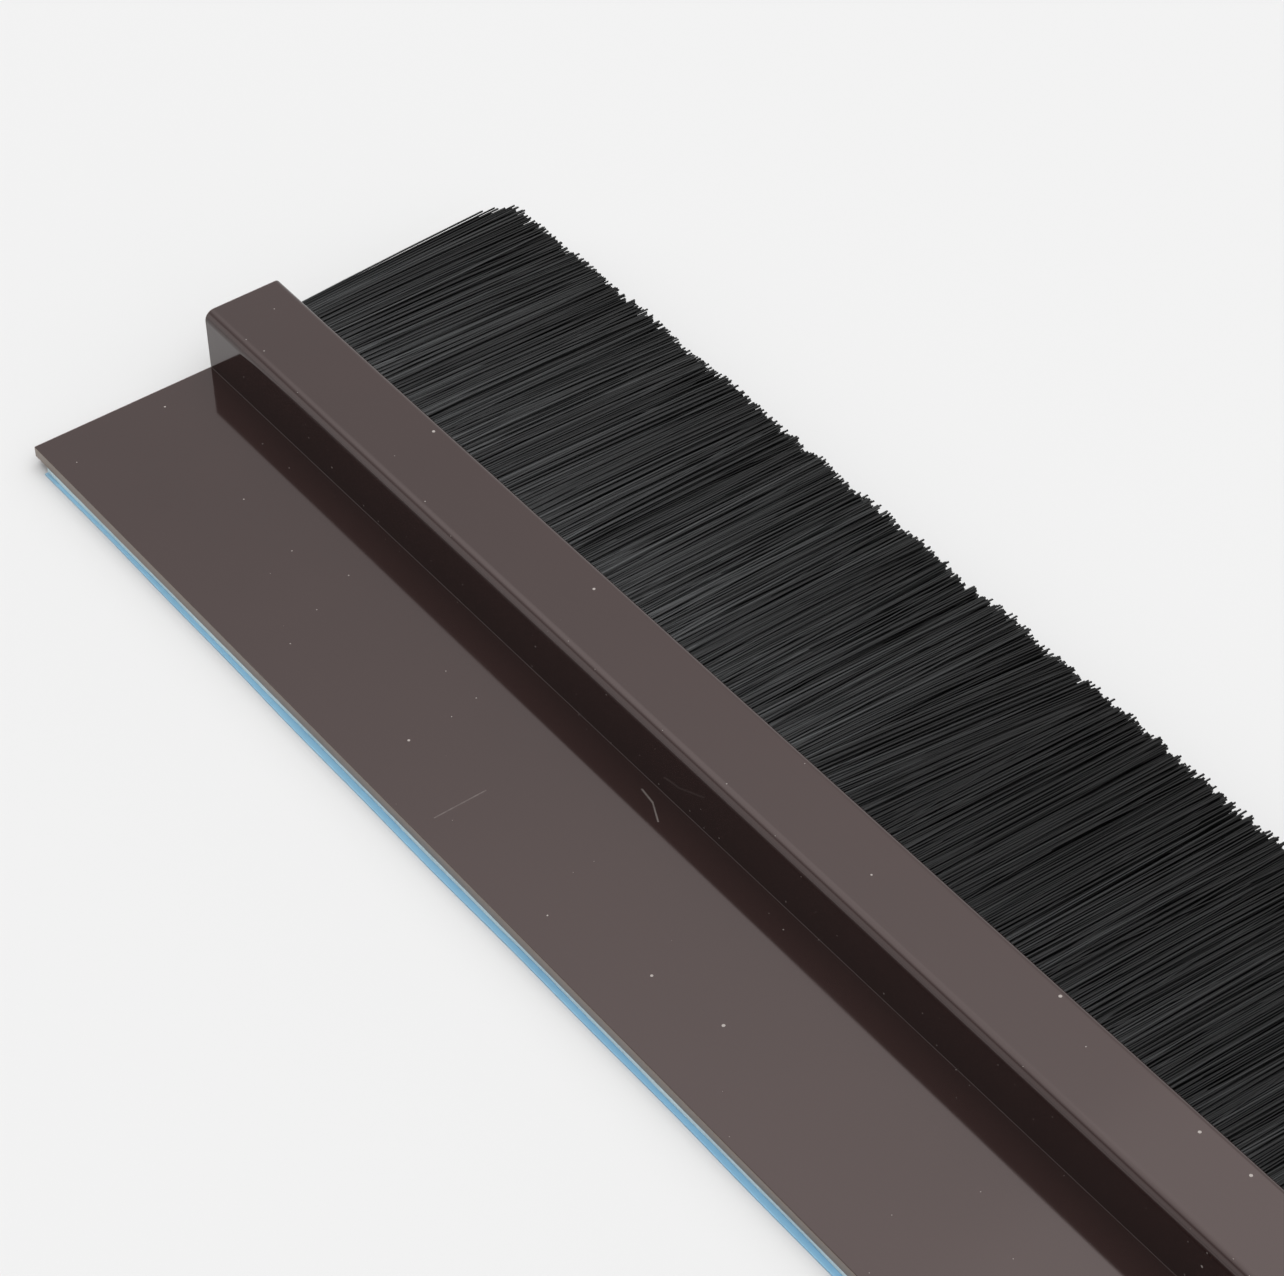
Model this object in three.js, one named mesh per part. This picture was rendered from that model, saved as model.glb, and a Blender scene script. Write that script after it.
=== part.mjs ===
// Self-adhesive brush door sweep, in millimetres, +Z up, lying on its release liner.
//
// A plastic profile has a thin mounting flange and a C-shaped channel. The channel holds a brush
// insert: filaments folded round a core wire and clamped in a folded steel spine. Double-sided
// tape and a release liner cover the back, which is the underside here.
//
// X runs along the length. Outlines are drawn as (across, up): across is 0 at the flange's free
// edge and grows towards the filament tips, up is 0 at the underside of the liner.

import * as THREE from 'three';

// Overall
const LENGTH = 914;
const FLANGE_WIDTH = 17.8;
const FILAMENT_REACH = 24.5; // from the channel's mouth to the tips

// Back layers
const LINER_THICKNESS = 0.2;
const LINER_OVERHANG = 0.5; // past each long edge of the tape
const TAPE_THICKNESS = 0.5;
const TAPE_BACK_MARGIN = 1; // from the channel's outer face to the tape
const TAPE_END_INSET = 2;

// Profile walls
const FLANGE_THICKNESS = 1.1;
const CHANNEL_WALL = 1.1;
const LIP_THICKNESS = 1.1;
const SHOULDER_RADIUS = 0.7; // top edge over the flange
const BROW_RADIUS = 0.5; // top edge over the mouth
const EDGE_RADIUS = 0.2;

// Brush insert
const WIRE_DIAMETER = 1;
const WIRE_CLEARANCE = 0.3;
const WRAP_THICKNESS = 0.5; // filaments squeezed round the wire
const PACK_THICKNESS = 2.2; // both legs of the folded filaments at the mouth
const TIP_THICKNESS = 2.6;
const TIP_DROOP = 0.8;
const SPINE_SHEET = 0.5;
const SPINE_DEPTH = 4.9;
const CRIMP_STEP = 0.25; // each jaw of the spine bends in by this much
const CRIMP_LENGTH = 1.2;
const INSERT_END_INSET = 0.6;
const WIRE_END_INSET = 1.5;

// Running clearances
const FOLD_CLEARANCE = 0.3; // fold to spine
const CRIMP_CLEARANCE = 0.3; // pack to the spine's jaws
const SPINE_CLEARANCE = 0.3; // spine to channel
const MOUTH_CLEARANCE = 0.3; // pack to the channel's lips

// Swinging filament sections
const SECTION_COUNT = 10;
const SECTION_GAP = 0.4;
const HINGE_GAP = 0.3; // channel's face to the rounded root of a section

const ARC_SEGMENTS = 5;
const ROUND_SEGMENTS = 10;

const COLOURS = {
  profile: 0x3d2927,
  tape: 0xdbe6e8,
  liner: 0x5c9fc6,
  steel: 0xa4a8ab,
  filament: 0x1f2021,
};

// Heights, worked out from the insert outwards
const backUp = LINER_THICKNESS + TAPE_THICKNESS;
const flangeUp = backUp + FLANGE_THICKNESS;
const packHalf = PACK_THICKNESS / 2;
const foldRadius = WIRE_DIAMETER / 2 + WIRE_CLEARANCE + WRAP_THICKNESS;
const jawHalf = packHalf + CRIMP_CLEARANCE;
const spineInnerHalf = Math.max(foldRadius + FOLD_CLEARANCE, jawHalf + CRIMP_STEP);
const spineHalf = spineInnerHalf + SPINE_SHEET;
const cavityHalf = spineHalf + SPINE_CLEARANCE;
const mouthHalf = packHalf + MOUTH_CLEARANCE;
const middleUp = backUp + CHANNEL_WALL + cavityHalf;
const topUp = middleUp + cavityHalf + CHANNEL_WALL;

// Places across the width
const cavityStart = FLANGE_WIDTH + CHANNEL_WALL;
const spineStart = cavityStart + SPINE_CLEARANCE;
const spineEnd = spineStart + SPINE_DEPTH;
const lipStart = spineEnd + SPINE_CLEARANCE;
const faceAcross = lipStart + LIP_THICKNESS;
const wireAcross = spineStart + SPINE_SHEET + FOLD_CLEARANCE + foldRadius;
const hingeAcross = faceAcross + HINGE_GAP + packHalf;
const tipAcross = faceAcross + FILAMENT_REACH;
const tapeAcross = faceAcross - TAPE_BACK_MARGIN;

// Outlines are drawn in the XY plane and extruded along Z: this turns them to (across, up, along).
const ALONG_LENGTH = new THREE.Matrix4().makeBasis(
  new THREE.Vector3(0, 1, 0),
  new THREE.Vector3(0, 0, 1),
  new THREE.Vector3(1, 0, 0),
);

function material(colour, roughness, metalness = 0) {
  return new THREE.MeshStandardMaterial({ color: colour, roughness, metalness });
}

// A closed outline from its corners in order, anticlockwise: [across, up, corner radius].
function outline(corners) {
  const shape = new THREE.Shape();
  corners.forEach(([across, up, radius = 0], index) => {
    const corner = new THREE.Vector2(across, up);
    if (radius === 0) {
      addPoint(shape, corner, index);
      return;
    }
    const before = corners[(index + corners.length - 1) % corners.length];
    const after = corners[(index + 1) % corners.length];
    addRound(shape, corner, new THREE.Vector2(...before), new THREE.Vector2(...after), radius, index);
  });
  shape.closePath();
  return shape;
}

function addPoint(shape, point, index) {
  if (index === 0) shape.moveTo(point.x, point.y);
  else shape.lineTo(point.x, point.y);
}

// Rounds a corner with an arc that is tangent to both of its sides.
function addRound(shape, corner, before, after, radius, index) {
  const incoming = before.sub(corner).normalize();
  const outgoing = after.sub(corner).normalize();
  const halfAngle = Math.acos(incoming.dot(outgoing)) / 2;
  const bisector = incoming.clone().add(outgoing).normalize();
  const centre = corner.clone().addScaledVector(bisector, radius / Math.sin(halfAngle));
  const touch = radius / Math.tan(halfAngle);
  const start = corner.clone().addScaledVector(incoming, touch);
  const end = corner.clone().addScaledVector(outgoing, touch);
  addPoint(shape, start, index);
  const startAngle = Math.atan2(start.y - centre.y, start.x - centre.x);
  const endAngle = Math.atan2(end.y - centre.y, end.x - centre.x);
  let sweep = endAngle - startAngle;
  if (sweep > Math.PI) sweep -= 2 * Math.PI;
  if (sweep < -Math.PI) sweep += 2 * Math.PI;
  for (let step = 1; step <= ARC_SEGMENTS; step += 1) {
    const angle = startAngle + (sweep * step) / ARC_SEGMENTS;
    shape.lineTo(centre.x + radius * Math.cos(angle), centre.y + radius * Math.sin(angle));
  }
}

// A named piece with one outline all the way from start to end along the length.
function extruded(name, shape, start, end, finish) {
  const geometry = new THREE.ExtrudeGeometry(shape, {
    depth: end - start,
    bevelEnabled: false,
    curveSegments: ROUND_SEGMENTS,
  });
  geometry.applyMatrix4(ALONG_LENGTH);
  geometry.translate(start, 0, 0);
  const mesh = new THREE.Mesh(geometry, finish);
  mesh.name = name;
  return mesh;
}

function rectangle(across0, across1, up0, up1) {
  return outline([[across0, up0], [across1, up0], [across1, up1], [across0, up1]]);
}

// Flange and C-shaped channel in one extrusion, its back flat all the way across.
function carrierProfile() {
  const cavityLow = middleUp - cavityHalf;
  const cavityHigh = middleUp + cavityHalf;
  const mouthLow = middleUp - mouthHalf;
  const mouthHigh = middleUp + mouthHalf;
  const shape = outline([
    [0, backUp, EDGE_RADIUS],
    [faceAcross, backUp, EDGE_RADIUS],
    [faceAcross, mouthLow, EDGE_RADIUS],
    [lipStart, mouthLow, EDGE_RADIUS],
    [lipStart, cavityLow, EDGE_RADIUS],
    [cavityStart, cavityLow, EDGE_RADIUS],
    [cavityStart, cavityHigh, EDGE_RADIUS],
    [lipStart, cavityHigh, EDGE_RADIUS],
    [lipStart, mouthHigh, EDGE_RADIUS],
    [faceAcross, mouthHigh, EDGE_RADIUS],
    [faceAcross, topUp, BROW_RADIUS],
    [FLANGE_WIDTH, topUp, SHOULDER_RADIUS],
    [FLANGE_WIDTH, flangeUp, EDGE_RADIUS],
    [0, flangeUp, EDGE_RADIUS],
  ]);
  return extruded('carrier_profile', shape, 0, LENGTH, material(COLOURS.profile, 0.12));
}

function mountingTape() {
  const shape = rectangle(0, tapeAcross, LINER_THICKNESS, backUp);
  const end = LENGTH - TAPE_END_INSET;
  return extruded('mounting_tape', shape, TAPE_END_INSET, end, material(COLOURS.tape, 0.7));
}

function releaseLiner() {
  const shape = rectangle(-LINER_OVERHANG, tapeAcross + LINER_OVERHANG, 0, LINER_THICKNESS);
  const end = LENGTH - TAPE_END_INSET;
  return extruded('release_liner', shape, TAPE_END_INSET, end, material(COLOURS.liner, 0.35));
}

// Folded steel channel, open towards the mouth, its two jaws bent in on the filaments.
function brushSpine() {
  const bendRadius = SPINE_SHEET;
  const crimpStart = spineEnd - CRIMP_LENGTH;
  const innerBack = spineStart + SPINE_SHEET;
  const insideRadius = bendRadius / 2;
  const lowerJaw = [
    [spineStart, middleUp - spineHalf, bendRadius],
    [crimpStart, middleUp - spineHalf],
    [spineEnd, middleUp - jawHalf - SPINE_SHEET],
    [spineEnd, middleUp - jawHalf],
    [crimpStart, middleUp - spineInnerHalf],
    [innerBack, middleUp - spineInnerHalf, insideRadius],
  ];
  const upperJaw = lowerJaw.map(([across, up, radius]) => [across, 2 * middleUp - up, radius]);
  const shape = outline([...lowerJaw, ...upperJaw.reverse()]);
  return extruded(
    'brush_spine', shape, INSERT_END_INSET, LENGTH - INSERT_END_INSET, material(COLOURS.steel, 0.35, 1),
  );
}

function coreWire() {
  const shape = new THREE.Shape();
  shape.absarc(wireAcross, middleUp, WIRE_DIAMETER / 2, 0, 2 * Math.PI, false);
  return extruded(
    'core_wire', shape, WIRE_END_INSET, LENGTH - WIRE_END_INSET, material(COLOURS.steel, 0.3, 1),
  );
}

// The clamped part of the filaments: a loop round the wire, then both legs together to the mouth.
function filamentFold() {
  const meet = Math.asin(Math.min(1, packHalf / foldRadius));
  const shape = new THREE.Shape();
  shape.moveTo(faceAcross, middleUp - packHalf);
  shape.lineTo(faceAcross, middleUp + packHalf);
  shape.lineTo(wireAcross + foldRadius * Math.cos(meet), middleUp + packHalf);
  shape.absarc(wireAcross, middleUp, foldRadius, meet, 2 * Math.PI - meet, false);
  shape.lineTo(wireAcross + foldRadius * Math.cos(meet), middleUp - packHalf);
  shape.closePath();
  const hole = new THREE.Path();
  hole.absarc(wireAcross, middleUp, WIRE_DIAMETER / 2 + WIRE_CLEARANCE, 0, 2 * Math.PI, true);
  shape.holes.push(hole);
  return extruded(
    'filament_fold', shape, INSERT_END_INSET, LENGTH - INSERT_END_INSET, material(COLOURS.filament, 0.5),
  );
}

// The free part of the filaments. Its root is round on the hinge line, so it can swing both ways.
function bristleSection(index) {
  const span = LENGTH - 2 * INSERT_END_INSET;
  const width = (span - (SECTION_COUNT - 1) * SECTION_GAP) / SECTION_COUNT;
  const start = INSERT_END_INSET + index * (width + SECTION_GAP);
  const tipUp = middleUp - TIP_DROOP;
  const shape = new THREE.Shape();
  shape.moveTo(tipAcross, tipUp - TIP_THICKNESS / 2);
  shape.lineTo(tipAcross, tipUp + TIP_THICKNESS / 2);
  shape.lineTo(hingeAcross, middleUp + packHalf);
  shape.absarc(hingeAcross, middleUp, packHalf, Math.PI / 2, (3 * Math.PI) / 2, false);
  shape.closePath();
  const name = `bristle_section_${String(index + 1).padStart(2, '0')}`;
  return extruded(name, shape, start, start + width, material(COLOURS.filament, 0.5));
}

const group = new THREE.Group();
group.add(carrierProfile(), mountingTape(), releaseLiner());
group.add(brushSpine(), coreWire(), filamentFold());
for (let index = 0; index < SECTION_COUNT; index += 1) {
  group.add(bristleSection(index));
}

// The origin is under the middle of the part's box.
group.position.set(-LENGTH / 2, -(tipAcross - LINER_OVERHANG) / 2, 0);

export default group;
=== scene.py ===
# %% [markdown]
# # A brush door sweep, piece by piece
#
# This strip seals the gap under a door. A glossy brown plastic profile has a flat flange, which
# sticks to the door, and a C-shaped channel. The channel holds a brush insert: nylon filaments
# folded round a wire and pinched in a steel spine. Foam tape and a blue film cover the back.
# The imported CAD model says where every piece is. It could be imported and only coloured, but its
# rounded edges are coarse and its brush is a solid bar. So the frame is loaded first, and each
# piece is then made finely in the place that its CAD node holds.

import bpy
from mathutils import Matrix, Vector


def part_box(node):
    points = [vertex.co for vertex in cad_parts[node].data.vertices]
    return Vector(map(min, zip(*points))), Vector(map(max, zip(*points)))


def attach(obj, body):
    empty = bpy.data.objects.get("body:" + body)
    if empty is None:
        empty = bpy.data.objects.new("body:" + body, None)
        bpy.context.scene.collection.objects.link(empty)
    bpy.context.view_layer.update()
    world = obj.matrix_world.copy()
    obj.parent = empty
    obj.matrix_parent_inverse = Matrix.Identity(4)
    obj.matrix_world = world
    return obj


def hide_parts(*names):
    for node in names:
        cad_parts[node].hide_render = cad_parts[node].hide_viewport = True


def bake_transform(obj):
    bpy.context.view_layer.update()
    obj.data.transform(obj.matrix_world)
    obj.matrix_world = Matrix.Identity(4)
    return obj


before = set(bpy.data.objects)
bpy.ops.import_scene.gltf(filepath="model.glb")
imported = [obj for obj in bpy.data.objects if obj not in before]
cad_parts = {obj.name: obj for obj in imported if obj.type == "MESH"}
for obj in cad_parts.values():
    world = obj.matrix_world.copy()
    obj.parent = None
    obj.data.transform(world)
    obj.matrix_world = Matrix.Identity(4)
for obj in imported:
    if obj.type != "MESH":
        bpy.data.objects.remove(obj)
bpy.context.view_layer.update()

# %% [markdown]
# ## Units and places
#
# Blender works in metres and the maker's drawing is in millimetres, so one constant turns one
# into the other. Positions could be typed in again, but a typed number can drift away from the
# model. The nodes' own boxes give them here, and only the few sizes that no box shows, such as
# wall thicknesses, are written as numbers.

# %% Places taken from the CAD boxes
import math

import bmesh
import bpy
from mathutils import Matrix, Vector
from mathutils.geometry import tessellate_polygon

MM = 0.001

profile_low, profile_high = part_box("carrier_profile")
tape_low, tape_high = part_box("mounting_tape")
liner_low, liner_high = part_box("release_liner")
spine_low, spine_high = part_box("brush_spine")
wire_low, wire_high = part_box("core_wire")
fold_low, fold_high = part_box("filament_fold")
tip_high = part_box("bristle_section_01")[1]

edge_y = profile_low.y
middle_z = (spine_low.z + spine_high.z) / 2


def across(y):
    """Distance in mm from the flange's free edge, across the strip."""
    return (y - edge_y) / MM


def up(z):
    """Height in mm above the floor."""
    return z / MM


print("whole width in mm:", round(across(tip_high.y), 2))
print("channel top in mm:", round(up(profile_high.z), 2))

# %% [markdown]
# ## One outline, swept along the length
#
# The profile comes out of an extrusion die, so one outline holds over its whole length. A cube
# with bevels could be pushed about until it looked right, but an outline with a radius at each
# corner says the same thing in a few numbers. Each corner is turned into short sides. A point
# just before and just after the corner keeps the flat beside it shading flat, as the mirror-like
# plastic would show any bending of the light there.

# %% Rounded outlines
def rounded(corners, steps=8, hold=0.05):
    """Points of a closed outline from (across, up, radius) corners, in mm."""
    points = []
    for index, (a, u, radius) in enumerate(corners):
        corner = Vector((a, u))
        if radius == 0:
            points.append(corner)
            continue
        before = (Vector(corners[index - 1][:2]) - corner).normalized()
        after = (Vector(corners[(index + 1) % len(corners)][:2]) - corner).normalized()
        half = before.angle(after) / 2
        centre = corner + (before + after).normalized() * radius / math.sin(half)
        touch = radius / math.tan(half)
        first, last = corner + before * touch, corner + after * touch
        start = math.atan2(*(first - centre).yx)
        turn = math.atan2(*(last - centre).yx) - start
        turn = (turn + math.pi) % (2 * math.pi) - math.pi
        points.append(first + before * hold)
        for step in range(steps + 1):
            angle = start + turn * step / steps
            points.append(centre + Vector((math.cos(angle), math.sin(angle))) * radius)
        points.append(last + after * hold)
    return points


def shrunk(points, distance):
    """The outline moved inwards by a small distance, for a softened cut edge."""
    moved = []
    for index, point in enumerate(points):
        side = points[(index + 1) % len(points)] - points[index - 1]
        inwards = Vector((-side.y, side.x)).normalized()
        moved.append(point + inwards * distance)
    return moved


test_outline = rounded([(0, 0, 0.2), (4, 0, 0.2), (4, 2, 0.5), (0, 2, 0.5)])
print("a rounded test bar has", len(test_outline), "points")

# %% [markdown]
# ## The sweep
#
# Every long piece here is one outline carried from end to end: rings of points joined by faces,
# with a cap on each end. Blender's curve bevel could do it, but direct rings allow a soft edge
# at the saw cut and a little waviness on the way, which an extruded strip always has. The ring
# at each end is smaller, which makes the softened edge, and a second full ring just inside it
# keeps the long faces shading flat right up to the cut.

# %% Sweep an outline along X
def add_object(name, mesh, material):
    """Puts a mesh in the scene as a piece at the origin, with one material."""
    piece = bpy.data.objects.new(name, mesh)
    bpy.context.scene.collection.objects.link(piece)
    mesh.materials.clear()
    mesh.materials.append(material)
    return piece


def stations(start, end, step):
    """X places from start to end, about a step apart."""
    count = max(1, round((end - start) / step))
    return [start + (end - start) * index / count for index in range(count + 1)]


HOLD_RING = 1.6


def swept_mesh(name, outline, places, soft_edge=0.0, wander=None):
    """A closed solid with the outline, in mm, at each X place, in metres."""
    rings = [(x, outline) for x in places]
    if soft_edge:
        small, step = shrunk(outline, soft_edge), soft_edge * MM
        first, last = places[0], places[-1]
        hold = HOLD_RING * step
        rings = [
            (first, small), (first + step, outline), (first + hold, outline), *rings[1:-1],
            (last - hold, outline), (last - step, outline), (last, small),
        ]
    mesh = bpy.data.meshes.new(name)
    shape = bmesh.new()
    rows = []
    for x, points in rings:
        row = []
        for a, u in points:
            da, du = wander(x, a, u) if wander else (0, 0)
            row.append(shape.verts.new((x, edge_y + (a + da) * MM, (u + du) * MM)))
        rows.append(row)
    sides = len(outline)
    for first, second in zip(rows, rows[1:]):
        for side in range(sides):
            after = (side + 1) % sides
            shape.faces.new((first[side], first[after], second[after], second[side]))
    flat = [Vector((a, u, 0)) for a, u in rings[0][1]]
    for triangle in tessellate_polygon([flat]):
        shape.faces.new([rows[0][corner] for corner in triangle])
        shape.faces.new([rows[-1][corner] for corner in triangle])
    bmesh.ops.recalc_face_normals(shape, faces=shape.faces)
    for face in shape.faces:
        face.smooth = abs(face.normal.x) < 0.3
    shape.to_mesh(mesh)
    shape.free()
    return mesh


# %% [markdown]
# ## Sums on sockets
#
# A finish is a sum of patterns, and a sum is easier to read as Python than as a list of links.
# The class below wraps one socket, so that plus, minus, times and over add Math nodes. One
# method adds any other node. It sets the node's own settings first, because some of them change
# which sockets the node has, and then its values and links.

# %% A socket that Python's signs work on
class Wire:
    def __init__(self, tree, socket):
        self.tree, self.socket = tree, socket

    def sum(self, operation, *values):
        return add(self.tree, "ShaderNodeMath", {"operation": operation}, dict(enumerate(values)))

    def __add__(self, other):
        return self.sum("ADD", self, other)

    def __sub__(self, other):
        return self.sum("SUBTRACT", self, other)

    def __mul__(self, other):
        return self.sum("MULTIPLY", self, other)

    def __truediv__(self, other):
        return self.sum("DIVIDE", self, other)

    def __pow__(self, other):
        return self.sum("POWER", self, other)

    def __gt__(self, other):
        return self.sum("GREATER_THAN", self, other)

    def __lt__(self, other):
        return self.sum("LESS_THAN", self, other)

    def __radd__(self, other):
        return self.sum("ADD", other, self)

    def __rsub__(self, other):
        return self.sum("SUBTRACT", other, self)

    def __rmul__(self, other):
        return self.sum("MULTIPLY", other, self)

    def floor(self):
        return self.sum("FLOOR", self)

    def least(self, other):
        return self.sum("MINIMUM", self, other)

    def most(self, other):
        return self.sum("MAXIMUM", self, other)

    def size(self):
        return self.sum("ABSOLUTE", self)

    def out(self, name):
        """Another output of the same node."""
        return Wire(self.tree, self.socket.node.outputs[name])


def add(tree, kind, settings=None, values=None, out=0):
    """Adds a node: its settings, then its sockets' values or links. Returns one output."""
    node = tree.nodes.new(kind)
    for name, value in (settings or {}).items():
        if name == "stops":
            curve = node.mapping.curves[0]
            for place, height in value[1:-1]:
                curve.points.new(place, height)
            curve.points[0].location = value[0]
            curve.points[len(value) - 1].location = value[-1]
            node.mapping.update()
        elif name == "items":
            for item, item_kind in value.items():
                node.capture_items.new(item_kind, item)
        else:
            setattr(node, name, value)
    for name, value in (values or {}).items():
        if isinstance(value, Wire):
            tree.links.new(value.socket, node.inputs[name])
        else:
            node.inputs[name].default_value = value
    return Wire(tree, node.outputs[out]) if node.outputs else node


# %% [markdown]
# ## Starting a material
#
# Each finish starts the same way: an empty tree, a shader with its constants set on its own
# sockets, and the coordinates that its patterns read. Object coordinates suit the long pieces,
# as they are metres along, across and up, the same in every view. The tree returns them
# separately, in millimetres, since grain and streaks are thought of in millimetres.

# %% Material helpers
def start_material(name, **constants):
    """A new material and its shader, with the shader's fixed values set."""
    material = bpy.data.materials.new(name)
    material.use_nodes = True
    tree = material.node_tree
    shader = tree.nodes["Principled BSDF"]
    for socket, value in constants.items():
        shader.inputs[socket.replace("_", " ")].default_value = value
    return material, tree, shader


def place_in_mm(tree):
    """Object coordinates in mm: the vector, then along, across and up as numbers."""
    coordinates = add(tree, "ShaderNodeTexCoord", out="Object")
    scale = {0: coordinates, "Scale": 1 / MM}
    vector = add(tree, "ShaderNodeVectorMath", {"operation": "SCALE"}, scale)
    parts = add(tree, "ShaderNodeSeparateXYZ", {}, {0: vector}, "X")
    return vector, parts, parts.out("Y"), parts.out("Z")


def stretched(tree, x, y, z, stretch):
    """A vector whose patterns are drawn out along X by the stretch."""
    return add(tree, "ShaderNodeCombineXYZ", {}, {"X": x * (1 / stretch), "Y": y, "Z": z})


def noise(tree, vector, size, detail=2.0, roughness=0.5):
    """Soft noise from 0 to 1, with features of about the size, in the vector's units."""
    settings = {"noise_dimensions": "3D"}
    values = {"Vector": vector, "Scale": 1 / size, "Detail": detail, "Roughness": roughness}
    return add(tree, "ShaderNodeTexNoise", settings, values, 0)


def between(tree, amount, first, second):
    """A colour mixed from the first to the second."""
    settings = {"data_type": "RGBA", "clamp_factor": True}
    colours = {6: first, 7: second}
    colours = {k: v if isinstance(v, Wire) else (*v, 1.0) for k, v in colours.items()}
    return add(tree, "ShaderNodeMix", settings, {0: amount, **colours}, 2)


def bump(tree, height, depth):
    """A bump of the given depth in metres for a height from 0 to 1."""
    return add(tree, "ShaderNodeBump", {}, {"Height": height, "Distance": depth, "Strength": 1.0})


def link(value, shader, socket):
    value.tree.links.new(value.socket, shader.inputs[socket])


# %% [markdown]
# ## Glossy brown plastic
#
# The profile is rigid plastic, brown all through, with the shine that a polished die leaves. A
# plain brown gloss would look computer-made. The real surface has faint lines along the length
# from the die, slow waves that bend reflections a little, a haze of fingermarks, a scratch, a
# crease by the foot of the channel, and specks of dust, most of them along the shoulder. Each is
# a pattern on Object coordinates. The two sawn end faces are rougher and paler. The flange's cut
# rim is rougher and has a painted highlight: a paler colour that stands in for the floor's
# reflection in it. Both are chosen by their place. The shine itself is slightly warm.

# %% Brown plastic
FLANGE_WIDTH = 17.8
WALL = 1.1
SAWN_DEPTH = 0.15
RIM_DEPTH = 0.012
DEEP_BROWN, WARM_BROWN = (0.0212, 0.0102, 0.0094), (0.0268, 0.0130, 0.0117)
# The second of these colours is a painted highlight for the flange's cut rim, standing in for the
# floor's reflection there.
SAWN_BROWN, RIM_PAINTED_HIGHLIGHT, MARK_GREY = (0.075, 0.045, 0.040), (0.20, 0.155, 0.118), (0.36, 0.33, 0.31)


def on_strip(from_far_end, from_edge):
    """A place on the profile, in mm from its far end and its free edge, as (x, y) in mm."""
    return profile_low.x / MM + from_far_end, edge_y / MM + from_edge


SCRATCH = (on_strip(59.1, 2.0), on_strip(59.0, 6.9))
CREASE = (on_strip(66.4, 16.7), on_strip(68.1, 16.5), on_strip(70.1, 15.6))


def near_segment(x, y, first, last, width):
    """1 on a thin mark from the first point to the last, falling to 0 at its edge."""
    run = Vector(last) - Vector(first)
    dx, dy = x - first[0], y - first[1]
    share = ((dx * run.x + dy * run.y) * (1 / run.length_squared)).most(0.0).least(1.0)
    off_x, off_y = dx - share * run.x, dy - share * run.y
    return (1.0 - (off_x * off_x + off_y * off_y) * (1 / width ** 2)).most(0.0)


def dust(tree, x, y, z, spacing, size, share):
    """1 on small specks: some cells of a grid as wide as the spacing hold one each."""
    flat = add(tree, "ShaderNodeCombineXYZ", {}, {"X": x, "Y": y + z})
    settings = {"voronoi_dimensions": "2D"}
    distance = add(tree, "ShaderNodeTexVoronoi", settings, {"Vector": flat, "Scale": 1 / spacing})
    lucky = add(tree, "ShaderNodeSeparateColor", {}, {0: distance.out("Color")})
    return (distance < (lucky.out("Green") * (size / spacing))) * (lucky < share)


def brown_plastic():
    material, tree, shader = start_material(
        "brown_plastic", IOR=1.54, Specular_IOR_Level=0.555, Specular_Tint=(1.0, 0.86, 0.84, 1.0),
    )
    vector, x, y, z = place_in_mm(tree)
    die_lines = noise(tree, stretched(tree, x, y, z, 400.0), 0.35, 3.0, 0.6)
    waves = noise(tree, stretched(tree, x, y, z, 5.0), 9.0, 1.0)
    haze = noise(tree, vector, 14.0, 4.0, 0.6)
    on_shoulder = (1.0 - (y - (edge_y / MM + FLANGE_WIDTH + 0.4)).size() * 0.8).most(0.0)
    grit = dust(tree, x, y, z, 2.1, 0.07, 0.06 + on_shoulder * 0.45)
    specks = dust(tree, x, y, z, 8.0, 0.15, 0.40).most(grit * 0.7)
    scratch = near_segment(x, y, *SCRATCH, 0.09) * noise(tree, vector, 0.5)
    crease = near_segment(x, y, *CREASE[:2], 0.10).most(near_segment(x, y, *CREASE[1:], 0.08))
    foot = z < (up(profile_low.z) + WALL + 0.3)
    marks = specks.most((scratch * 0.35).most(crease * 0.40) * foot)
    sawn = x.size() > (profile_high.x / MM - SAWN_DEPTH)
    saw_marks = noise(tree, stretched(tree, x, y * 6.0, z, 1.0), 0.5, 3.0)
    brown = between(tree, haze, DEEP_BROWN, WARM_BROWN)
    brown = between(tree, sawn, brown, SAWN_BROWN)
    # The rim's paler colour is a painted highlight that stands in for the floor's reflection in the
    # flange's cut rim. The rim is also rougher.
    rim_rough_with_painted_highlight = y < (edge_y / MM + RIM_DEPTH)
    brown = between(tree, rim_rough_with_painted_highlight * (0.75 + haze * 0.25), brown, RIM_PAINTED_HIGHLIGHT)
    brown = between(tree, marks, brown, MARK_GREY)
    link(brown, shader, "Base Color")
    rough = 0.05 + haze * 0.05 + marks * 0.5 + rim_rough_with_painted_highlight * 0.22 + sawn * (0.3 + saw_marks * 0.2)
    link(rough, shader, "Roughness")
    height = die_lines * 0.02 + waves * 0.35 + marks * 0.4 + sawn * saw_marks
    link(bump(tree, height, 0.00003), shader, "Normal")
    return material


plastic = brown_plastic()
print("plastic nodes:", len(plastic.node_tree.nodes))

# %% [markdown]
# ## The carrier profile
#
# This is the piece that one sees first: a thin flange and the channel on its edge, in one
# extrusion. Its outline is the CAD one with finer rounds: a soft shoulder over the flange, a
# slightly sharper brow over the mouth, and small rounds elsewhere. Plastic cools unevenly after
# the die, so the flange also gets real waves a few hundredths of a millimetre high.

# %% Profile
SPINE_CLEARANCE = 0.3
MOUTH_HALF = 1.4
SMALL_ROUND, RIM_ROUND, FOOT_ROUND = 0.2, 0.09, 0.03
BROW_ROUND, SHOULDER_ROUND = 0.5, 0.95

face = across(profile_high.y)
lip = face - WALL
cavity = FLANGE_WIDTH + WALL
middle = up(middle_z)
cavity_low = up(spine_low.z) - SPINE_CLEARANCE
cavity_high = up(spine_high.z) + SPINE_CLEARANCE
back, top = up(profile_low.z), up(profile_high.z)

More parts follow.
